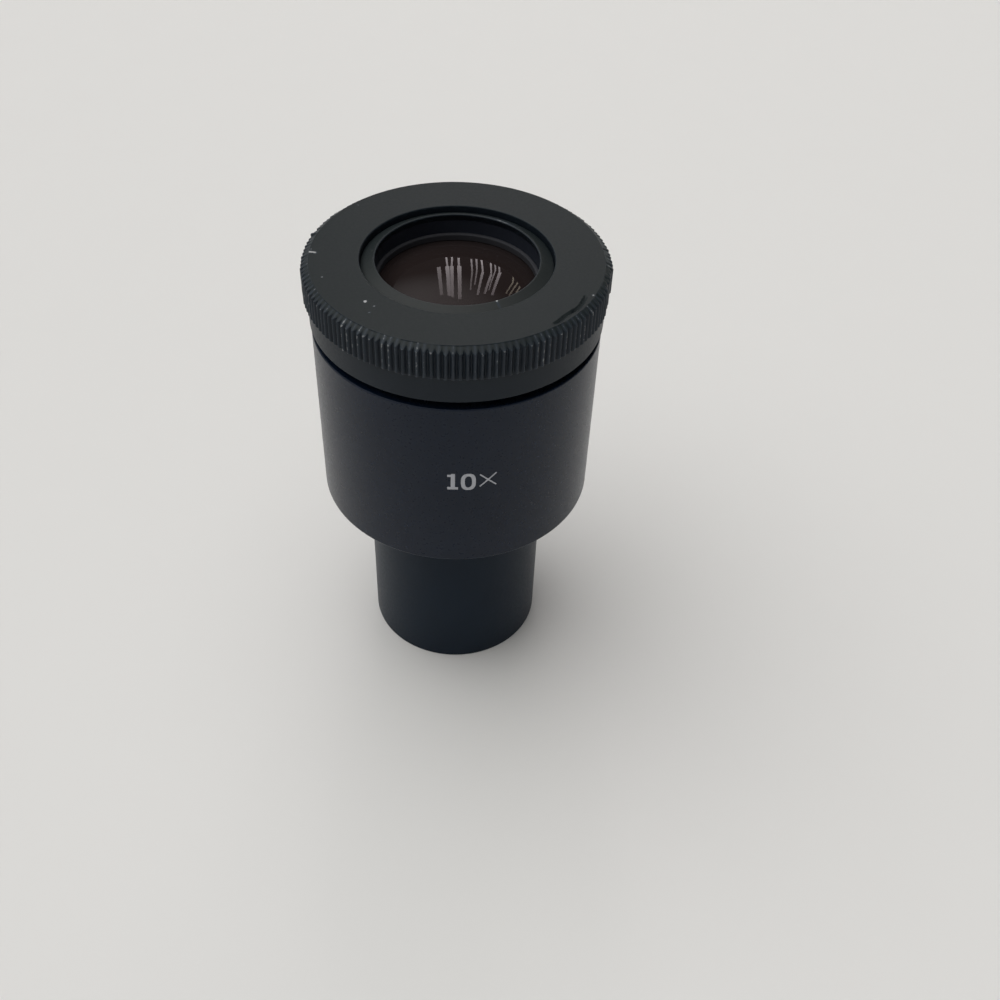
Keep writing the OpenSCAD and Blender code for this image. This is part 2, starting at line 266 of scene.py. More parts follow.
def disc_solid(name, outline, columns=288):
    """A solid turned from an open outline that starts and ends on the axis, such as a lens."""
    n = len(outline) - 2
    rim = outline[1:-1]
    angles = np.arange(columns) * (2 * math.pi / columns)
    co = around(rim[None, :, 0], rim[None, :, 1], angles[:, None]).reshape(-1, 3)
    co = np.vstack((co, (0, 0, outline[0, 1]), (0, 0, outline[-1, 1]))) * MM
    low, high = len(co) - 2, len(co) - 1
    faces = []
    for j in range(columns):
        k = (j + 1) % columns
        faces.append([low, k * n, j * n])
        faces.append([high, j * n + n - 1, k * n + n - 1])
        for i in range(n - 1):
            faces.append([j * n + i, k * n + i, k * n + i + 1, j * n + i + 1])
    return build(name, co, faces)


def cut(piece, cutters):
    """Takes the cutters out of the piece and removes them."""
    for cutter in cutters:
        tool = piece.modifiers.new("cut", "BOOLEAN")
        tool.operation = "DIFFERENCE"
        tool.solver = "EXACT"
        tool.object = cutter
    bpy.context.view_layer.update()
    graph = bpy.context.evaluated_depsgraph_get()
    mesh = bpy.data.meshes.new_from_object(piece.evaluated_get(graph))
    piece.modifiers.clear()
    old = piece.data
    piece.data = mesh
    bpy.data.meshes.remove(old)
    for cutter in cutters:
        shape = cutter.data
        bpy.data.objects.remove(cutter)
        bpy.data.meshes.remove(shape)


def block(low, high):
    """A cutter in the shape of a box, from corner to corner in millimetres."""
    bm = bmesh.new()
    bmesh.ops.create_cube(bm, size=1)
    low, high = Vector(low) * MM, Vector(high) * MM
    for v in bm.verts:
        v.co = Vector((low[k] + (v.co[k] + 0.5) * (high[k] - low[k]) for k in range(3)))
    return from_bmesh("cutter", bm)


def rod(x0, x1, radius, z):
    """A round cutter along X between two places in millimetres."""
    bm = bmesh.new()
    turn = Matrix.Rotation(math.pi / 2, 4, "Y")
    at = Matrix.Translation(Vector(((x0 + x1) / 2, 0, z)) * MM)
    bmesh.ops.create_cone(bm, cap_ends=True, segments=48, radius1=radius * MM, radius2=radius * MM,
                          depth=abs(x1 - x0) * MM, matrix=at @ turn)
    return from_bmesh("cutter", bm)


# Shares of the helicoid's pitch that its crests and its flanks take, and the length its starts fade out over
CREST_SHARE, FLANK_SHARE, RUN_OUT = 0.28, 0.44, 0.35


def thread_depth(z, a, z0, z1):
    """How deep the helicoid's grooves are at heights and angles, with its starts fading out at both ends."""
    phase = (z / LEAD - a / (2 * math.pi)) * STARTS
    wave = np.abs(2 * (phase - np.floor(phase)) - 1)
    groove = np.clip((wave - CREST_SHARE) / FLANK_SHARE, 0, 1)
    fade = np.clip((z - z0) / RUN_OUT, 0, 1) * np.clip((z1 - z) / RUN_OUT, 0, 1)
    return THREAD_DEPTH * groove * fade


# ---------------------------------------------------------------- the focus ring

# Bearings in degrees of the knurl's brightest tips, partly bare metal and partly a painted highlight, and of
# its roughest part
WORN_AND_GLINT_TIPS = (-146.3, -133.0, -124.0, -121.8, -116.4, -113.9, -109.0, -103.6, -93.1, -73.2, -63.0, -58.4,
             -51.2)
ROUGH_TEETH = (-19.0, -4.0)
# Brightness of those tips and at most of the others, and the most that a tooth loses of its height and length
WORN_AND_GLINT_TIP, TIP_BRIGHT, TOOTH_LOST, TOOTH_SHORTER = 0.56, 0.52, 0.16, 0.12
# How much the teeth's crests are lightened: least, spread and most of their rubbing, and the extra at the
# left and at the right, which is painted light on the sides that catch the light
RUBBED_LEAST, RUBBED_SPREAD, RUBBED_MOST = 0.12, 0.36, 0.48
PAINTED_LIGHT_LEFT, PAINTED_LIGHT_RIGHT = 1.5, 0.6
# Power of a tooth's profile, 1 for flat flanks and 2 for round ones, height of its lead-in, and width of the
# bright band where it meets the chamfer, partly bare metal and partly a painted highlight
TOOTH_POWER, LEAD_IN, TIP_LIGHT_WIDTH = 1.35, 0.27, 0.15
# Small specks on the top face, as radius, bearing and size, and how strong and how ragged they are
SPECKS = ((13.60, -131.6, 0.15), (14.82, -129.8, 0.15), (15.83, -162.8, 0.13), (16.94, -26.7, 0.20),
          (16.95, 176.4, 0.14))
SPECK_STRENGTH, SPECK_RAGGED = 0.78, 0.5
# Those with an image point, as size and strength
POINT_SPECKS = {"speck_near": (0.24, 1.2), "speck_far": (0.15, 0.85)}
# The scratch's slant, half its width, how soft it is and how ragged
SCRATCH_SLANT, SCRATCH_HALF, SCRATCH_SOFT, SCRATCH_RAGGED = 0.24, 0.30, 0.16, 0.10
# The gouge's depth and half its length as an angle, the width of its near wall and of its floor's rise, the
# least share of the depth there, and how ragged it is
GOUGE_DEPTH, GOUGE_HALF = 0.50, math.radians(11.8)
GOUGE_WALL, GOUGE_RISE, GOUGE_LEAST, GOUGE_RAGGED = 0.06, 0.42, 0.12, 0.12
# The burr's height, its depth below the top face, and half its width as an angle and as a height
BURR_HEIGHT, BURR_DOWN, BURR_TURN, BURR_HALF = 0.42, 0.35, 0.010, 0.22
# The plane of the top face, which the image points on it meet
FACE_CORNERS = ((-40, -40, TOP), (40, -40, TOP), (40, 40, TOP), (-40, 40, TOP))
FACE = BVHTree.FromPolygons([Vector(corner) * MM for corner in FACE_CORNERS], [(0, 1, 2, 3)])
SHOWN = {}


def on_face(name):
    """Radius and bearing where an image point meets the plane of the top face."""
    at, _ = place(IMAGE_POINTS[name], FACE)
    return math.hypot(at.x, at.y) / MM, math.atan2(at.y, at.x)


def bearing_of(name, r, z):
    """Bearing of the place on a circle that shows nearest an image point."""
    a = np.linspace(-math.pi, math.pi, 7200)
    return a[np.argmin(np.hypot(*(project(around(r, z, a) * MM) - IMAGE_POINTS[name]).T))]


def turn_to(a, bearing):
    """The angles measured from a bearing, between minus and plus half a turn."""
    return (a - bearing + math.pi) % (2 * math.pi) - math.pi


def note(name, r, z, a, where):
    SHOWN[name] = around(r, z, a)[where] * MM


def teeth_wear_and_light():
    """For each tooth: its tip's brightness on the chamfer, partly bare metal and partly a painted highlight,
    how much of it is lost, how much shorter it ends and how much its crest is lightened, by rubbing and by
    painted light on the teeth at the left and right."""
    rng = np.random.default_rng(SEED)
    bearings = np.degrees(turn_to((np.arange(KNURL_TEETH) + 0.5) * 2 * math.pi / KNURL_TEETH, 0))
    bright = TIP_BRIGHT * rng.random(KNURL_TEETH) ** 1.4
    for bearing in WORN_AND_GLINT_TIPS:
        bright[np.argmin(np.abs(bearings - bearing))] = WORN_AND_GLINT_TIP
    lost = TOOTH_LOST * rng.random(KNURL_TEETH) ** 2
    rough = (bearings > ROUGH_TEETH[0]) & (bearings < ROUGH_TEETH[1])
    lost = np.where(rough, 0.2 + 0.6 * rng.random(KNURL_TEETH), lost)
    end = TOOTH_SHORTER * rng.random(KNURL_TEETH)
    sides = np.cos(np.radians(bearings))
    # Painted light: teeth at the left and at the right are lightened extra, for the light those sides catch
    painted_side_light = 1 + np.where(sides < 0, -PAINTED_LIGHT_LEFT * sides, PAINTED_LIGHT_RIGHT * sides)
    lightened = (RUBBED_LEAST + RUBBED_SPREAD * rng.random(KNURL_TEETH)) * painted_side_light
    return bright, lost, end, np.minimum(lightened, RUBBED_MOST)


def knurl(r, z, edge, a):
    """Cuts the knurl's teeth, no two alike in what they lose, and marks the bright tips along the chamfer,
    partly bare metal and partly painted highlights.
    """
    columns = np.arange(len(r))
    tooth = columns // COLUMNS_PER_TOOTH
    across = np.abs(2 * (columns % COLUMNS_PER_TOOTH) / COLUMNS_PER_TOOTH - 1)[:, None]
    bright, lost, end, lightened = (values[tooth][:, None] for values in teeth_wear_and_light())
    height = (1 - across ** TOOTH_POWER) * (1 - lost)
    floor_r = GROOVE_R - np.clip((z - TOP + CHAMFER_H) / CHAMFER_H, 0, 1) * (GROOVE_R - TOP_FACE_R) * 0.5
    teeth_r = floor_r + height * (KNURL_TIP_R - floor_r)
    slope = (KNURL_TIP_R - TOP_FACE_R) / CHAMFER_H
    cap = KNURL_TIP_R - (z - (TOP - CHAMFER_H)) * slope - end
    lead_in = BAND_R + np.clip((z - KNURL_LOW) / LEAD_IN, 0, 2) * (KNURL_TIP_R - BAND_R)
    outside = (r > TOP_FACE_R + 0.04) & (z > KNURL_LOW + 0.001)
    shaped = np.minimum(np.minimum(teeth_r, cap), lead_in)
    new_r = np.where(outside, np.minimum(r, np.maximum(shaped, TOP_FACE_R)), r)
    near_cap = np.exp(-(((teeth_r - cap) / TIP_LIGHT_WIDTH) ** 2))
    # Bright tips: partly bare metal, partly painted highlight. Crests: rubbing, plus painted light at the
    # left and right
    edge = np.where(outside, np.maximum(near_cap * height ** 1.5 * bright * 1.4, lightened * height ** 3), edge)
    burr = np.exp(-(turn_to(a, bearing_of("nick", KNURL_TIP_R + 0.3, TOP - 0.3)) / BURR_TURN) ** 2)
    burr = burr * np.exp(-((z - TOP + BURR_DOWN) / BURR_HALF) ** 2)
    new_r = np.where(outside, new_r + BURR_HEIGHT * burr, new_r)
    note("nick", new_r, z, a, outside & (burr > 0.8 * burr.max()))
    return new_r, z, edge


def top_face(r, z):
    """Which vertices are on the top face."""
    return (z > TOP - 0.01) & (r > OPENING_R + 0.2)


def specks(r, z, edge, a, rng):
    """Wears small bright specks into the top face."""
    upward = top_face(r, z)
    spots = []
    for i, (at_r, turn, size) in enumerate(SPECKS):
        spots.append((f"speck_{i}", at_r, math.radians(turn), size, SPECK_STRENGTH))
    for name, look in POINT_SPECKS.items():
        spots.append((name, *on_face(name), *look))
    for name, at_r, bearing, size, strength in spots:
        gap = np.hypot((r - at_r) * 0.8, at_r * turn_to(a, bearing)) / size
        gap = gap + rng.random(r.shape) * SPECK_RAGGED
        edge = np.where(upward, np.maximum(edge, strength * np.clip(2 - 1.6 * gap, 0, 1)), edge)
        note(name, r, z, a, upward & (gap < 1.2))
    return edge


def scratch(r, z, edge, a, rng):
    """Wears a short bright scratch across the rim of the top face."""
    upward = top_face(r, z)
    at_r, bearing = on_face("scratch")
    across = np.abs(at_r * turn_to(a, bearing) + SCRATCH_SLANT * (r - at_r))
    across = across + rng.random(r.shape) * SCRATCH_RAGGED
    fade = np.clip((SCRATCH_HALF - across) / SCRATCH_SOFT, 0, 1) * np.clip(3 - 4.8 * np.abs(r - at_r), 0, 1)
    note("scratch", r, z, a, upward & (fade > 0.4))
    return np.where(upward, np.maximum(edge, 1.1 * fade), edge)


def gouge(r, z, a, rng):
    """Cuts a long narrow gouge along the rim of the top face."""
    at_r, bearing = on_face("gouge")
    along = turn_to(a, bearing) / GOUGE_HALF
    depth = GOUGE_DEPTH * np.clip(1 - along ** 2, 0, 1) ** 0.5 * (0.8 + 0.2 * np.sin(along * 8 + 1))
    start = at_r + 0.10 * np.sin(along * 5) - 0.12 * along
    into = r - start
    groove = np.clip(into / GOUGE_WALL, 0, 1) * np.clip(1 - (into - GOUGE_WALL) / GOUGE_RISE, GOUGE_LEAST, 1)
    broken = (r > at_r - 1) & (z > TOP - CHAMFER_H) & (np.abs(along) < 1)
    rough = 1 + GOUGE_RAGGED * rng.random(r.shape)
    z = np.where(broken & (into > 0), np.minimum(z, TOP - groove * depth * rough), z)
    note("gouge", r, z, a, broken & (z < TOP - 0.15) & (into < 0.3))
    return z


def shape_ring(r, z, edge, a):
    """The ring's knurl, the damage that the photograph shows on it, and its inner thread."""
    rng = np.random.default_rng(SEED)
    r, z, edge = knurl(r, z, edge, a)
    edge = specks(r, z, edge, a, rng)
    edge = scratch(r, z, edge, a, rng)
    z = gouge(r, z, a, rng)
    grooves = thread_depth(z, a, RING_LOW + 0.3, TOP - 3.3)
    inside = (np.abs(r - RING_THREAD_R) < 0.01) & (z < TOP - 3)
    return np.where(inside, r + grooves, r), z, edge


def ring_outline():
    """Section of the focus ring, fine where the knurl, the thread and the worn top face need it."""
    lip_low, lip_top = TOP - 2.8, TOP - 2.0
    corners = [
        (RING_THREAD_R + 0.3, RING_LOW, 0.03), (BAND_R, RING_LOW, 0.08), (BAND_R, KNURL_LOW - 0.06, 0),
        (BAND_R, KNURL_LOW, 0), (KNURL_TIP_R, KNURL_LOW + LEAD_IN, 0), (KNURL_TIP_R, TOP - CHAMFER_H, 0),
        (TOP_FACE_R, TOP, 0.10),
        (OPENING_R, TOP, 0.14), (OPENING_R, lip_top, 0.05), (LIP_R, lip_top, 0.05), (LIP_R, lip_low, 0.05),
        (RING_THREAD_R + 0.25, lip_low, 0.05), (RING_THREAD_R + 0.25, lip_low - 0.4, 0.05),
        (RING_THREAD_R, lip_low - 0.5, 0), (RING_THREAD_R, RING_LOW + 0.3, 0),
    ]
    outline = rounded(corners)
    outline = refine(outline, 0.11, lambda r, z: z > KNURL_LOW - 0.01 and r > OPENING_R)
    return refine(outline, 0.09, lambda r, z: abs(r - RING_THREAD_R) < 0.001)


ring = lathe("focus_ring_knurled", ring_outline(), KNURL_TEETH * COLUMNS_PER_TOOTH, shape_ring)

# ---------------------------------------------------------------- body, tube and collar

body = lathe("body_sleeve_turned", refine(rounded([
    (11.12, BODY_LOW, 0.03), (BODY_R, BODY_LOW, 0.18), (BODY_R, BODY_TOP, 0.16), (15.2, BODY_TOP, 0.04),
    (14.9, 50.2, 0), (14.9, 44.6, 0.03), (15.2, 44.3, 0), (15.2, 44.0, 0.03), (14.4, 44.0, 0.03),
    (14.4, 29.0, 0.1), (11.42, 29.0, 0.02), (11.12, 28.7, 0.02),
]), 1.0), 384)

tube = lathe("insertion_tube_turned", refine(rounded([
    (10.95, 0, 0.04), (11.6, 0, 0.2), (11.6, BODY_LOW, 0.02), (10.95, BODY_LOW, 0.02), (10.95, 26.85, 0.02),
    (11.1, 27.0, 0), (11.1, 28.85, 0), (10.95, 29.0, 0.02), (10.2, 29.0, 0.05), (10.2, 17.415, 0.02),
    (10.8, 17.415, 0.02), (10.8, 0.15, 0),
]), 1.0), 288)


def collar_thread(r, z, edge, a):
    """The helicoid's grooves on the collar's neck."""
    grooves = thread_depth(z, a, BODY_TOP + 0.1, COLLAR_TOP - 0.25)
    outside = (np.abs(r - COLLAR_R) < 0.01) & (z > BODY_TOP)
    return np.where(outside, r - grooves, r), z, edge


def collar_outline():
    """Section of the collar, fine along its thread."""
    outline = rounded([
        (13.3, 44.6, 0.03), (14.58, 44.6, 0.02), (14.88, 44.9, 0), (14.88, 49.9, 0), (14.58, 50.2, 0.03),
        (14.58, BODY_TOP, 0.02), (COLLAR_R, BODY_TOP, 0.02), (COLLAR_R, COLLAR_TOP - 0.3, 0),
        (15.3, COLLAR_TOP, 0.04), (13.3, COLLAR_TOP, 0.12),
    ])
    return refine(outline, 0.09, lambda r, z: abs(r - COLLAR_R) < 0.001)


# The guide keys' slots, and the keys' screws as inner and outer end and radius
KEY_IN, KEY_OUT, KEY_HALF, KEY_LOW, KEY_HIGH = 12.3, 13.97, 1.02, 47.0, 49.0
KEY_MIDDLE = (KEY_LOW + KEY_HIGH) / 2
SCREW_SHANK, SCREW_HEAD = (13.4, 16.4, 0.72), (14.14, 17.1, 1.22)
# The spanner slots: radius of the middle, half the length, half the width, and heights
SLOT_R, SLOT_REACH, SLOT_HALF, SLOT_LOW, SLOT_HIGH = 14.5, 2.5, 1, 54.2, 56


def key_openings(side):
    """Cutters on one side of the collar: a key's slot with round ends, and its screw's hole and head."""
    near, far = sorted((side * KEY_IN, side * KEY_OUT))
    slot = [block((near, -KEY_HALF, KEY_LOW), (far, KEY_HALF, KEY_HIGH))]
    slot += [rod(side * KEY_IN, side * KEY_OUT, KEY_HALF, height) for height in (KEY_LOW, KEY_HIGH)]
    slot += [rod(side * x0, side * x1, r, KEY_MIDDLE) for x0, x1, r in (SCREW_SHANK, SCREW_HEAD)]
    return slot


def spanner_slot(side):
    """Cutter of the spanner slot in the collar's top, at the back (1) or the front (-1)."""
    near, far = side * SLOT_R - SLOT_REACH, side * SLOT_R + SLOT_REACH
    return block((-SLOT_HALF, near, SLOT_LOW), (SLOT_HALF, far, SLOT_HIGH))


collar = lathe("helicoid_collar_threaded", collar_outline(), 288, collar_thread)
openings = [spanner_slot(side) for side in (-1, 1)]
for side in (-1, 1):
    openings += key_openings(side)
cut(collar, openings)

# ---------------------------------------------------------------- eye end


def sag(r, curve):
    """Depth of a round glass face of that curve at the radius r."""
    return curve - np.sqrt(curve * curve - r * r)


# Radius of the capture ring's crest, bearing, reach and strength of the painted highlight along a stretch of
# it, and bearing, half width and strength of the painted glint on it
CREST_R = 9.42
STRETCH_BEARING, STRETCH_REACH, STRETCH_HIGHLIGHT = math.radians(56), math.radians(15), 0.50
GLINT_BEARING, GLINT_HALF, GLINT_STRENGTH = math.radians(-63.3), 0.12, 1.1


def paint_crest_light(r, z, edge, a):
    """Painted light on the capture ring's crest: a painted highlight along a stretch at the back and a
    painted glint at the front.
    """
    crest = np.clip((z - TOP + 0.25) / 0.1, 0, 1)
    wall = (r < CREST_R + 0.05) & (z > TOP - 0.4)
    # Painted highlight on a stretch of the crest at the back, and a painted glint on the crest at the front
    stretch = np.clip(1.3 - np.abs(turn_to(a, STRETCH_BEARING) / STRETCH_REACH), 0, 1)
    glint = np.clip(1.6 - np.abs(r * turn_to(a, GLINT_BEARING)) / GLINT_HALF, 0, 1)
    lightened = STRETCH_HIGHLIGHT * stretch * np.maximum(crest, wall)
    return r, z, np.maximum(edge, np.maximum(lightened, GLINT_STRENGTH * glint * crest))


# The capture ring's top rises from its rim to a rounded crest over the eye lens's rim
capture = lathe("capture_ring_turned", rounded([
    (10.52, 57.3, 0.02), (11.2, 57.3, 0.02), (11.2, TOP - 0.87, 0.09), (CREST_R, TOP - 0.03, 0.14),
    (9.79, 58.0, 0.02), (10.52, 58.0, 0.02),
]), 1080, paint_crest_light)

RETAINER_TOP = TOP - 2.8
seat = EYE_CREST - sag(9.5, EYE_CURVE) + 0.015
retainer = lathe("eye_lens_retainer_turned", rounded([
    (9.3, EYE_CREST - sag(9.3, EYE_CURVE) + 0.05, 0.02), (9.5, seat, 0), (9.75, seat, 0.02),
    (9.75, RETAINER_TOP, 0.03), (9.3, RETAINER_TOP, 0.16),
]))

# Each lens: CAD node, glass, edge radius, height and curve of the lower face, height and curve of the upper
# face, and the lower and upper faces' finish. A curve below zero is hollow.
LENSES = {
    "eye_lens_crown_polished": (
        "eye_lens_crown", "crown", 9.7, 52.0, 22, EYE_CREST, EYE_CURVE, "cemented", "outer"),
    "eye_lens_flint_polished": (
        "eye_lens_flint", "flint", 9.7, 49.8, 80, 51.99, -22.01, "coated", "cemented"),
    "middle_lens_polished": (
        "middle_lens", "crown", 11.4, 41.6, 34, 47.6, 34, "coated", "coated"),
    "field_lens_crown_polished": (
        "field_lens_crown", "crown", 11.4, 34.2, 24, 40.6, 30, "cemented", "coated"),
    "field_lens_flint_polished": (
        "field_lens_flint", "flint", 11.4, 32.6, -100, 34.19, -24.01, "outer", "cemented"),
}
LENS_RINGS, LENS_COLUMNS, SHARP_ANGLE = 40, 192, math.radians(35)


def lens(name, edge_r, low, low_curve, high, high_curve):
    """A lens between two round faces. Its faces have material 0 below, 1 above and 2 round the edge."""
    r = np.linspace(0, edge_r, LENS_RINGS)
    low_z = low + math.copysign(1, low_curve) * sag(r, abs(low_curve))
    high_z = high - math.copysign(1, high_curve) * sag(r, abs(high_curve))
    outline = np.vstack((np.stack((r, low_z), -1), np.stack((r, high_z), -1)[::-1]))
    piece = disc_solid(name, outline, LENS_COLUMNS)
    mesh = piece.data
    normals = np.empty(len(mesh.polygons) * 3)
    mesh.polygons.foreach_get("normal", normals)
    up = normals.reshape(-1, 3)[:, 2]
    side = np.where(up > 0.01, 1, np.where(up < -0.01, 0, 2))
    mesh.polygons.foreach_set("material_index", side.astype(np.int32))
    mesh.set_sharp_from_angle(angle=SHARP_ANGLE)
    return piece


# ---------------------------------------------------------------- the printed power

INK_OUT, INK_IN = 0.012, -0.03
SIGN_HALF, SIGN_STEP = 1.2, 0.15


def superellipse(half_width, half_height, power, count=56):
    """A closed outline between an ellipse and a rectangle."""
    t = np.arange(count) * (2 * math.pi / count)
    x = half_width * np.sign(np.cos(t)) * np.abs(np.cos(t)) ** (2 / power)
    z = half_height * np.sign(np.sin(t)) * np.abs(np.sin(t)) ** (2 / power)
    return list(zip(x.tolist(), z.tolist()))


def sign_slab(loops):
    """A flat sign with a thickness: outlines in millimetres, the first one filled and the rest left out."""
    bm = bmesh.new()
    corners = [Vector((x, z, 0)) for loop in loops for x, z in loop]
    verts = [bm.verts.new(c) for c in corners]
    for tri in tessellate_polygon([[Vector((x, z, 0)) for x, z in loop] for loop in loops]):
        bm.faces.new([verts[k] for k in tri])
    for x in np.arange(-SIGN_HALF, SIGN_HALF + 0.01, SIGN_STEP):
        geometry = bm.verts[:] + bm.edges[:] + bm.faces[:]
        bmesh.ops.bisect_plane(bm, geom=geometry, plane_co=(x, 0, 0), plane_no=(1, 0, 0))
    bmesh.ops.recalc_face_normals(bm, faces=bm.faces)
    if bm.faces[:][0].normal.z < 0:
        bmesh.ops.reverse_faces(bm, faces=bm.faces)
    flat = bm.faces[:]
    made = bmesh.ops.extrude_face_region(bm, geom=flat)["geom"]
    for v in made:
        if isinstance(v, bmesh.types.BMVert):
            v.co.z = INK_OUT
    for v in bm.verts:
        if v.co.z == 0:
            v.co.z = INK_IN
    # Bisecting leaves the faces in an order that varies from run to run
    bm.verts.index_update()
    for i, face in enumerate(sorted(bm.faces, key=lambda face: sorted(v.index for v in face.verts))):
        face.index = i
    bm.faces.sort()
    return bm


def ink(name, loops, at):
    """A printed sign, laid round the body with its centre at that place."""
    turn0, z0 = math.atan2(at.y, at.x), at.z / MM
    bm = sign_slab(loops)
    for v in bm.verts:
        x, z, out = v.co
        a, r = turn0 + x / BODY_R, BODY_R + out
        v.co = Vector((r * math.cos(a), r * math.sin(a), z0 + z)) * MM
    bmesh.ops.recalc_face_normals(bm, faces=bm.faces)
    return from_bmesh(name, bm)


body_tree = BVHTree.FromObject(body, bpy.context.evaluated_depsgraph_get())
ONE = [
    (-0.63, -1.24), (0.63, -1.24), (0.63, -0.86), (0.27, -0.86), (0.27, 1.24), (-0.12, 1.24),
    (-0.24, 1.10), (-0.63, 1.06), (-0.63, 0.74), (-0.22, 0.74), (-0.22, -0.86), (-0.63, -0.86),
]
CROSS = [
    (-0.93, -1.02), (0, -0.13), (0.93, -1.02), (1.04, -0.88), (0.13, 0), (1.04, 0.88),
    (0.93, 1.02), (0, 0.13), (-0.93, 1.02), (-1.04, 0.88), (-0.13, 0), (-1.04, -0.88),
]
SIGNS = {
    "mark_one": ("power_mark_one", [ONE]),
    "mark_zero": ("power_mark_zero", [superellipse(0.88, 1.28, 2.7), superellipse(0.42, 0.88, 2.5)]),
    "mark_cross": ("power_mark_cross", [CROSS]),
}
marks = {}
for point, (name, loops) in SIGNS.items():
    marks[point] = ink(name, loops, place(IMAGE_POINTS[point], body_tree)[0])

# ---------------------------------------------------------------- bodies and nodes

REPLACED = [
    (ring, "focus_ring", "turning_ring", "black_anodised"),
    (body, "body_sleeve", "barrel", "black_anodised"),
    (tube, "insertion_tube", "barrel", "black_anodised"),
    (collar, "helicoid_collar", "barrel", "black_anodised"),
    (capture, "capture_ring", "lens_carrier", "black_anodised"),
    (retainer, "eye_lens_retainer", "lens_carrier", "matt_black"),
]
lenses = {}
for name, (node, glass, edge_r, low, low_curve, high, high_curve, low_finish, high_finish) in LENSES.items():
    lenses[name] = lens(name, edge_r, low, low_curve, high, high_curve)
    REPLACED.append((lenses[name], node, "lens_carrier", glass + "_glass"))
for piece, node, body_name, slot_name in REPLACED:
    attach(piece, body_name)
    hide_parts(node)
for piece in marks.values():
    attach(piece, "barrel")

# ---------------------------------------------------------------- materials


def principled(name, **inputs):
    """A material, its node tree and its shader, with the shader's inputs by name."""
    m = bpy.data.materials.new(name)
    m.use_nodes = True
    shader = m.node_tree.nodes["Principled BSDF"]
    for key, value in inputs.items():
        shader.inputs[key.replace("_", " ")].default_value = value
    return m, m.node_tree, shader


def add(tree, kind, **values):
    """A node, with properties by their lower-case names and sockets by their title-case names."""
    node = tree.nodes.new(kind)
    for key, value in values.items():
        if key[0].islower():
            setattr(node, key, value)
        else:
            node.inputs[key.replace("_", " ")].default_value = value
    return node


def noise(tree, size_mm, detail=2.0, stretch=(1, 1, 1), roughness=0.5):
    """Noise with features of about that size, from the object's own coordinates."""
    where = add(tree, "ShaderNodeTexCoord")
    scaled = add(tree, "ShaderNodeMapping", Scale=tuple(s / (size_mm * MM) for s in stretch))
    pattern = add(tree, "ShaderNodeTexNoise", Scale=1.0, Detail=detail, Roughness=roughness)
    tree.links.new(where.outputs["Object"], scaled.inputs["Vector"])
    tree.links.new(scaled.outputs["Vector"], pattern.inputs["Vector"])
    return pattern.outputs["Fac"]


def ramp(tree, value, low, high, low_out=0.0, high_out=1.0):
    """The value mapped from low..high to low_out..high_out, and held outside it."""
    node = add(tree, "ShaderNodeMapRange")
    for key, number in (("From Min", low), ("From Max", high), ("To Min", low_out), ("To Max", high_out)):
        node.inputs[key].default_value = number
    tree.links.new(value, node.inputs["Value"])
    return node.outputs["Result"]


def blend_colour(tree, factor, first, second):
    """Mixes two colours by a factor. Each is a colour or a socket."""
    node = add(tree, "ShaderNodeMix", data_type="RGBA")
    tree.links.new(factor, node.inputs[0])
    for socket, colour in ((node.inputs[6], first), (node.inputs[7], second)):
        if isinstance(colour, tuple):
            socket.default_value = (*colour, 1)
        else:
            tree.links.new(colour, socket)
    return node.outputs[2]


def bumps(tree, shader, heights):
    """Chains bump nodes: each height is a socket and its depth in millimetres."""
    normal = None
    for height, depth_mm in heights:
        bump = add(tree, "ShaderNodeBump", Strength=1.0, Distance=depth_mm * MM)
        tree.links.new(height, bump.inputs["Height"])
        if normal is not None:
            tree.links.new(normal, bump.inputs["Normal"])
        normal = bump.outputs["Normal"]
    tree.links.new(normal, shader.inputs["Normal"])


# Spacing and depth of the lathe's turning marks, in millimetres
TURNED_MM, TURNING_MM = 0.05, 0.0012


def worn_and_lit(tree, edge):
    """How far the finish gives way to bare metal, in patches along the edges: for abrasion, and for the
    painted highlights that the edge attribute brings.
    """
    patchy = add(tree, "ShaderNodeMath", operation="ADD")
    tree.links.new(edge, patchy.inputs[0])
    tree.links.new(ramp(tree, noise(tree, 0.5, 3.0), 0.3, 0.7, -0.25, 0.25), patchy.inputs[1])
    return ramp(tree, patchy.outputs[0], 0.45, 0.9)


def up_face_and_near_light(tree, shade, up_face_colour, near_painted_light):
    """The shade with a lighter colour where it faces up, and a greyer painted light on the near half, for how
    light falls on that side.
    """
    # Painted light: the near half (towards -Y) of the upward faces takes a greyer, lighter colour for how
    # light falls there
    if near_painted_light:
        at = add(tree, "ShaderNodeSeparateXYZ")
        tree.links.new(add(tree, "ShaderNodeTexCoord").outputs["Object"], at.inputs[0])
        up_face_colour = blend_colour(tree, ramp(tree, at.outputs["Y"], -9 * MM, 3 * MM), near_painted_light, up_face_colour)
    # Faces that turn up take the lighter up-face colour
    facing = add(tree, "ShaderNodeSeparateXYZ")
    tree.links.new(add(tree, "ShaderNodeNewGeometry").outputs["Normal"], facing.inputs[0])
    return blend_colour(tree, ramp(tree, facing.outputs["Z"], 0.35, 0.85), shade, up_face_colour)


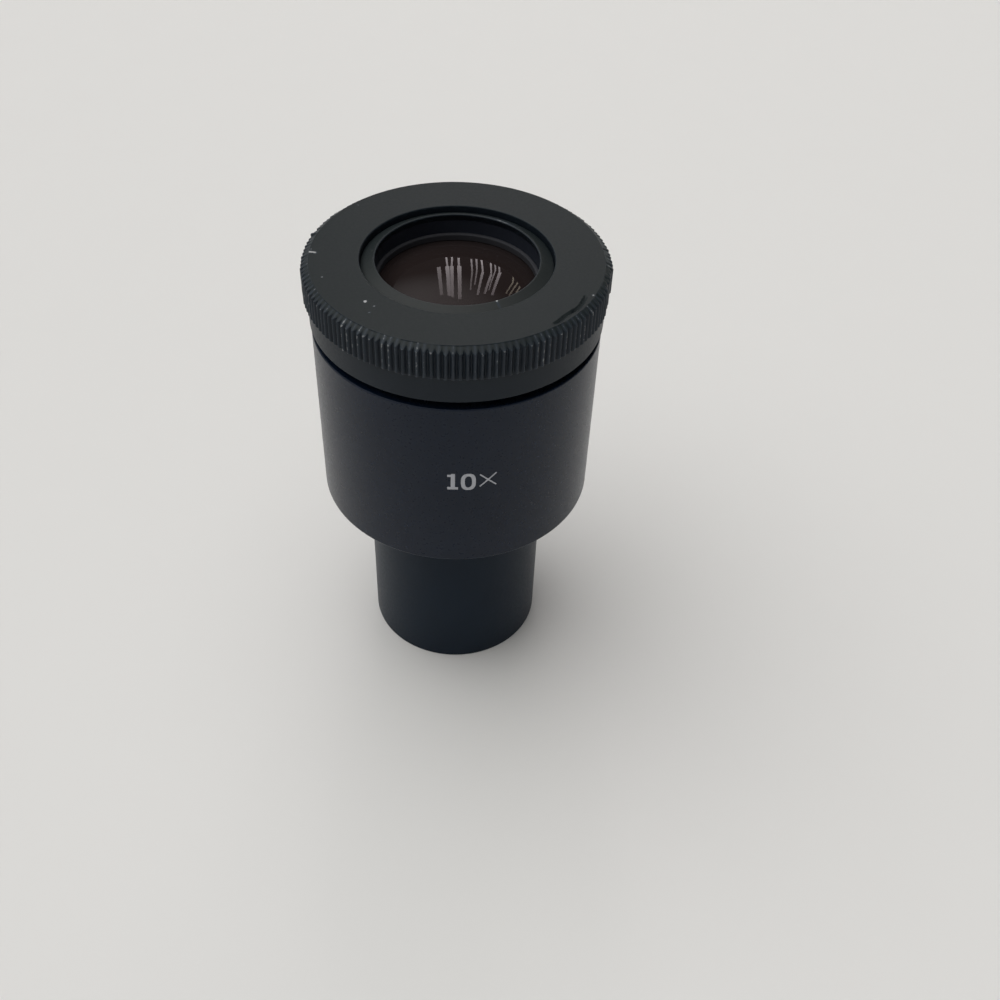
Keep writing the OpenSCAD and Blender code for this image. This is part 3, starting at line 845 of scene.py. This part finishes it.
def black_finish(name, colour, worn_and_lit_colour, rough, specular, up_face_colour=None, near_painted_light=None, grain_mm=0.0015):
    """Black anodised or painted metal, with blotches, turning marks, a fine grain and edges abraded to bare
    metal. The edge attribute also carries painted highlights and painted light; if given, faces that turn up
    take a lighter colour and the near half takes a greyer painted light.
    """
    m, tree, shader = principled(name, Specular_IOR_Level=specular)
    fine = noise(tree, 0.35, 3.0)
    lines = noise(tree, 1.0, 2.0, (0.02, 0.02, 1 / TURNED_MM))
    edge = add(tree, "ShaderNodeAttribute", attribute_name="edge").outputs["Fac"]
    worn_and_lit_mix = worn_and_lit(tree, edge)
    shade = blend_colour(tree, noise(tree, 7.0, 3.0), colour, tuple(c * 1.35 + 0.001 for c in colour))
    if up_face_colour:
        shade = up_face_and_near_light(tree, shade, up_face_colour, near_painted_light)
    # Low edge values lighten the shade: rubbing, and the painted light and painted highlights that the edge
    # attribute carries
    shade = blend_colour(tree, ramp(tree, edge, 0, 0.45), shade, tuple(c * 2.2 + 0.015 for c in colour))
    tree.links.new(blend_colour(tree, worn_and_lit_mix, shade, worn_and_lit_colour), shader.inputs["Base Color"])
    tree.links.new(ramp(tree, worn_and_lit_mix, 0, 1, 0, 0.6), shader.inputs["Metallic"])
    tree.links.new(ramp(tree, fine, 0.3, 0.7, rough - 0.04, rough + 0.05), shader.inputs["Roughness"])
    bumps(tree, shader, [(lines, TURNING_MM), (fine, grain_mm)])
    return m


def plain_finish(name, colour, rough, specular=0.5, metal=0.0, size_mm=0.4, depth_mm=0.002, spread=1.3):
    """A finish with a fine uneven grain, for the inner pieces."""
    m, tree, shader = principled(name, Specular_IOR_Level=specular, Metallic=metal)
    grain = noise(tree, size_mm, 4.0)
    broad = noise(tree, size_mm * 12, 2.0)
    tree.links.new(blend_colour(tree, broad, colour, tuple(min(1, c * spread) for c in colour)),
                   shader.inputs["Base Color"])
    tree.links.new(ramp(tree, grain, 0.3, 0.7, rough - 0.06, rough + 0.06), shader.inputs["Roughness"])
    bumps(tree, shader, [(grain, depth_mm)])
    return m


def glass_finish(name, colour, ior, tint, clear):
    """Polished glass with a coating that tints its reflections, and a trace of dust that isn't clear."""
    m, tree, shader = principled(
        name, Transmission_Weight=clear, IOR=ior, Specular_Tint=(*tint, 1), Roughness=0.0)
    veil = blend_colour(tree, noise(tree, 5.0, 3.0), colour, tuple(c * 0.94 for c in colour))
    tree.links.new(veil, shader.inputs["Base Color"])
    return m


# The ring's bare-metal grey, also used for painted highlights on the knurl tips and the capture ring's crest
RING_COLOUR, RING_WORN_AND_LIT = (0.0085, 0.0130, 0.0188), (0.42, 0.43, 0.43)
# A lighter colour for faces that turn up, and a greyer painted light for the near half of the capture ring's
# upward faces
UP_FACE_COLOUR, NEAR_PAINTED_LIGHT = (0.0140, 0.0192, 0.0205), (0.030, 0.034, 0.034)
BODY_COLOUR, TUBE_COLOUR = (0.0018, 0.0062, 0.0165), (0.0040, 0.0105, 0.0205)
BODY_WORN = (0.30, 0.31, 0.33)
ring_black = black_finish("ring_black", RING_COLOUR, RING_WORN_AND_LIT, 0.43, 0.17, UP_FACE_COLOUR)
# The capture ring's finish adds the painted light on its near half
crest_black = black_finish("crest_black", RING_COLOUR, RING_WORN_AND_LIT, 0.43, 0.17, UP_FACE_COLOUR, NEAR_PAINTED_LIGHT)
body_black = black_finish("body_black", BODY_COLOUR, BODY_WORN, 0.30, 0.22, grain_mm=0.0005)
tube_black = black_finish("tube_black", TUBE_COLOUR, BODY_WORN, 0.40, 0.13)
inner_black = black_finish("inner_black", (0.016, 0.020, 0.030), (0.10, 0.10, 0.11), 0.40, 0.35)
collar_black = black_finish("collar_black", (0.050, 0.062, 0.080), (0.14, 0.14, 0.15), 0.45, 0.35)
retainer_black = plain_finish("retainer_paint", (0.040, 0.041, 0.047), 0.60, 0.12, depth_mm=0.003)
matt = plain_finish("matt_black_paint", (0.018, 0.020, 0.026), 0.50, 0.35, depth_mm=0.004)
FINISHES = {
    "outer": glass_finish("eye_face_glass", (0.036, 0.026, 0.025), 1.42, (0.165, 0.132, 0.14), 0.45),
    "coated": glass_finish("coated_glass", (0.95, 0.90, 0.88), 1.10, (0.8, 0.6, 0.62), 1.0),
    "cemented": glass_finish("cemented_glass", (0.95, 0.92, 0.90), 1.001, (0.5, 0.4, 0.4), 1.0),
}
ground_edge = plain_finish("blackened_lens_edge", (0.010, 0.010, 0.012), 0.6, 0.3)
brass = plain_finish("key_brass", (0.62, 0.44, 0.18), 0.3, metal=1.0, size_mm=0.25)
steel = plain_finish("screw_steel", (0.50, 0.51, 0.53), 0.28, metal=1.0, size_mm=0.25)
washer_white = plain_finish("washer_plastic", (0.72, 0.71, 0.68), 0.45, size_mm=0.3, spread=1.06)
ink_grey = plain_finish(
    "printed_ink", (0.41, 0.42, 0.455), 0.45, 0.3, size_mm=0.12, depth_mm=0.003, spread=1.15)

for piece, finish in ((ring, ring_black), (body, body_black), (tube, tube_black), (collar, collar_black),
                      (capture, crest_black), (retainer, retainer_black)):
    piece.data.materials.clear()
    piece.data.materials.append(finish)
for piece in marks.values():
    piece.data.materials.append(ink_grey)
for name, (_, glass, _, _, _, _, _, low_finish, high_finish) in LENSES.items():
    for finish in (FINISHES[low_finish], FINISHES[high_finish], ground_edge):
        lenses[name].data.materials.append(finish)
CAD_FINISHES = {
    "guide_keys": brass, "guide_key_screws": steel, "lens_cell": inner_black,
    "upper_thrust_washer": washer_white, "lower_thrust_washer": washer_white,
    "lens_spacer": matt, "field_lens_retainer": matt, "field_stop": matt, "field_stop_clamp": matt,
}
for node, finish in CAD_FINISHES.items():
    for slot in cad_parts[node].material_slots:
        slot.material = finish

# ---------------------------------------------------------------- floor and light

FLOOR_R, COVE_R, COVE_TOP = 2.5, 0.5, 0.72
FLOOR_COLUMNS = 96


def cove():
    """A round floor that curves up into a low wall, as an outline of radius and height in metres."""
    curve = np.linspace(0, math.pi / 2, 13)
    bend = [(FLOOR_R + COVE_R * math.sin(t), COVE_R * (1 - math.cos(t))) for t in curve]
    outline = np.array([(0.3, 0)] + bend + [(FLOOR_R + COVE_R, COVE_TOP)])
    a = np.arange(FLOOR_COLUMNS)[:, None] * 2 * math.pi / FLOOR_COLUMNS
    co = around(outline[None, :, 0], outline[None, :, 1], a).reshape(-1, 3)
    n = len(outline)
    faces = [[j * n for j in range(FLOOR_COLUMNS)]]
    for j in range(FLOOR_COLUMNS):
        beside = (j + 1) % FLOOR_COLUMNS
        faces += [[j * n + i, j * n + i + 1, beside * n + i + 1, beside * n + i] for i in range(n - 1)]
    return build("floor", co, faces)


floor = cove()
floor.data.materials.append(plain_finish(
    "floor", (0.80, 0.795, 0.78), 0.75, 0.2, size_mm=1.0, depth_mm=0, spread=1.01))

# Strips behind the object, which the eye lens shows as bars, the bent ones in two parts: bearing from +Y
# towards +X and height above the horizon at both ends, in degrees, then apparent width in degrees and
# brightness. The last ones are warmer.
STRIP_REACH = 1.6
STRIP_LEVEL = 1.3
STRIP_COLOUR, WARM_COLOUR, WARM_STRIPS = (1.0, 0.93, 0.95), (1.0, 0.90, 0.72), 6
STRIPS = [
    (-6.3, 28.1, -9.3, 51.3, 1.2, 2.0), (-3.1, 18.3, -3.4, 28, 0.5, 2.4), (-1.5, 18.5, -1.9, 28, 0.5, 2.4),
    (-3.4, 28, -4.9, 52.6, 1.25, 3.0), (-1.9, 28, -3.0, 53.5, 1.1, 2.8), (0.3, 19.5, 0.5, 28, 0.6, 2.4),
    (0.6, 28, 1.7, 55, 1.3, 2.9), (3.9, 20, 5.5, 32.8, 0.5, 2.0), (5.5, 32.8, 7.0, 47.6, 0.5, 1.9),
    (5.3, 19.3, 6.9, 30.4, 0.5, 2.0), (6.9, 30.4, 8.4, 43.3, 0.5, 1.9), (6.6, 18.5, 9.2, 31.3, 0.5, 2.9),
    (9.2, 31.3, 11.9, 50.3, 0.8, 2.8), (8.3, 14.1, 12.6, 32.2, 0.5, 2.6), (12.6, 32.2, 15.2, 48.3, 0.8, 2.6),
    (9.1, 13.1, 12.7, 26.9, 0.4, 2.3), (12.7, 26.9, 15.9, 44.6, 0.4, 2.3), (9.8, 12.1, 14.3, 27.4, 0.5, 2.4),
    (14.5, 27.4, 19.1, 47.4, 0.9, 2.6), (17.8, 23.1, 21.3, 32, 0.5, 2.0), (21.3, 32, 23.9, 42.3, 0.5, 1.9),
    (18.7, 21.1, 22.5, 30, 0.5, 2.3), (22.5, 30, 25.8, 42.5, 0.5, 2.0), (19.1, 17.3, 23.5, 28.5, 0.5, 2.4),
    (23.5, 28.5, 28.0, 42.0, 0.5, 2.2),
]
EYE = Vector((0, 0, EYE_CREST * MM))

# The room's light: an even glow that grows towards a place high up behind the object and to its left
GLOW_BEARING, GLOW_HEIGHT, GLOW_REACH = -78, 72, 55
GLOW_LOW, GLOW_HIGH = 0.03, 2.3
ROOM_COLOUR = (0.965, 0.96, 0.948, 1)


def heading(bearing, height):
    """Direction of a bearing from +Y towards +X and a height above the horizon, in degrees."""
    b, h = math.radians(bearing), math.radians(height)
    return Vector((math.sin(b) * math.cos(h), math.cos(b) * math.cos(h), math.sin(h)))


def strip_lamp(name, ends, width, radiance, colour):
    """A lamp between two ends in metres, with a width in degrees seen from the eye lens, that faces it."""
    middle, along = (ends[0] + ends[1]) / 2, ends[1] - ends[0]
    size = (math.radians(width) * (middle - EYE).length, along.length)
    lamp = bpy.data.lights.new(name, "AREA")
    lamp.shape = "RECTANGLE"
    lamp.size, lamp.size_y = size
    lamp.energy = radiance * math.pi * size[0] * size[1]
    lamp.color = colour
    along.normalize()
    facing = middle - EYE
    facing = (facing - facing.dot(along) * along).normalized()
    o = bpy.data.objects.new(name, lamp)
    o.location = middle
    o.rotation_euler = Matrix((along.cross(facing), along, facing)).transposed().to_euler()
    o.visible_camera = False
    bpy.context.scene.collection.objects.link(o)


def room_light():
    """Lights the world with the glow."""
    world = bpy.data.worlds.new("world")
    bpy.context.scene.world = world
    world.use_nodes = True
    tree = world.node_tree
    background = tree.nodes["Background"]
    background.inputs["Color"].default_value = ROOM_COLOUR
    toward = add(tree, "ShaderNodeVectorMath", operation="DOT_PRODUCT")
    toward.inputs[1].default_value = heading(GLOW_BEARING, GLOW_HEIGHT)
    tree.links.new(add(tree, "ShaderNodeTexCoord").outputs["Generated"], toward.inputs[0])
    rim = math.cos(math.radians(GLOW_REACH))
    strength = ramp(tree, toward.outputs["Value"], rim, 1, GLOW_LOW, GLOW_HIGH)
    strength.node.interpolation_type = "SMOOTHSTEP"
    tree.links.new(strength, background.inputs["Strength"])


for i, (bearing0, height0, bearing1, height1, width, bright) in enumerate(STRIPS):
    ends = [EYE + heading(*end) * STRIP_REACH for end in ((bearing0, height0), (bearing1, height1))]
    colour = WARM_COLOUR if i >= len(STRIPS) - WARM_STRIPS else STRIP_COLOUR
    strip_lamp(f"strip_{i + 1:02d}", ends, width, bright * STRIP_LEVEL, colour)
room_light()
bpy.context.scene.view_settings.view_transform = "Standard"


def crossing(piece, axis, at, last, keep=None):
    """Pixel where a piece's outline crosses a pixel row (axis 1) or column (axis 0), first or last."""
    co = np.array([piece.matrix_world @ v.co for v in piece.data.vertices])
    pairs = np.array([e.vertices[:] for e in piece.data.edges])
    if keep is not None:
        kept = keep(np.hypot(co[:, 0], co[:, 1]) / MM, co[:, 2] / MM)
        pairs = pairs[kept[pairs].all(axis=1)]
    seen = project(co)
    a, b = seen[pairs[:, 0]], seen[pairs[:, 1]]
    crossed = (a[:, axis] - at) * (b[:, axis] - at) < 0
    a, b = a[crossed], b[crossed]
    share = (at - a[:, axis]) / (b[:, axis] - a[:, axis])
    found = a[:, 1 - axis] + share * (b[:, 1 - axis] - a[:, 1 - axis])
    return float(found.max() if last else found.min())


def opening_edge(r, z):
    """Which vertices are on the edge of the opening in the top face."""
    return (np.abs(r - OPENING_R) < 0.06) & (z > TOP - 0.15)


def body_rim(r, z):
    """Which vertices are on the body's upper rim."""
    return (z > BODY_TOP - 0.2) & (r > BODY_R - 0.2)


bpy.context.view_layer.update()
OUTLINES = {
    "object_left": (ring, 1, False, None), "object_right": (ring, 1, True, None),
    "object_top": (ring, 0, False, None), "object_bottom": (tube, 0, True, None),
    "body_left": (body, 1, False, None), "body_right": (body, 1, True, None),
    "tube_left": (tube, 1, False, None), "tube_right": (tube, 1, True, None),
    "opening_left": (ring, 1, False, opening_edge), "opening_right": (ring, 1, True, opening_edge),
    "opening_far": (ring, 0, False, opening_edge), "body_rim_front": (body, 0, True, body_rim),
}
for name, point in IMAGE_POINTS.items():
    shown = list(point)
    if name in OUTLINES:
        piece, axis, last, keep = OUTLINES[name]
        shown[1 - axis] = crossing(piece, axis, point[axis], last, keep)
    else:
        vertices = SHOWN[name] if name in SHOWN else [v.co for v in marks[name].data.vertices]
        seen = project(np.array(vertices))
        shown = [float(c) for c in (seen.min(axis=0) + seen.max(axis=0)) / 2]
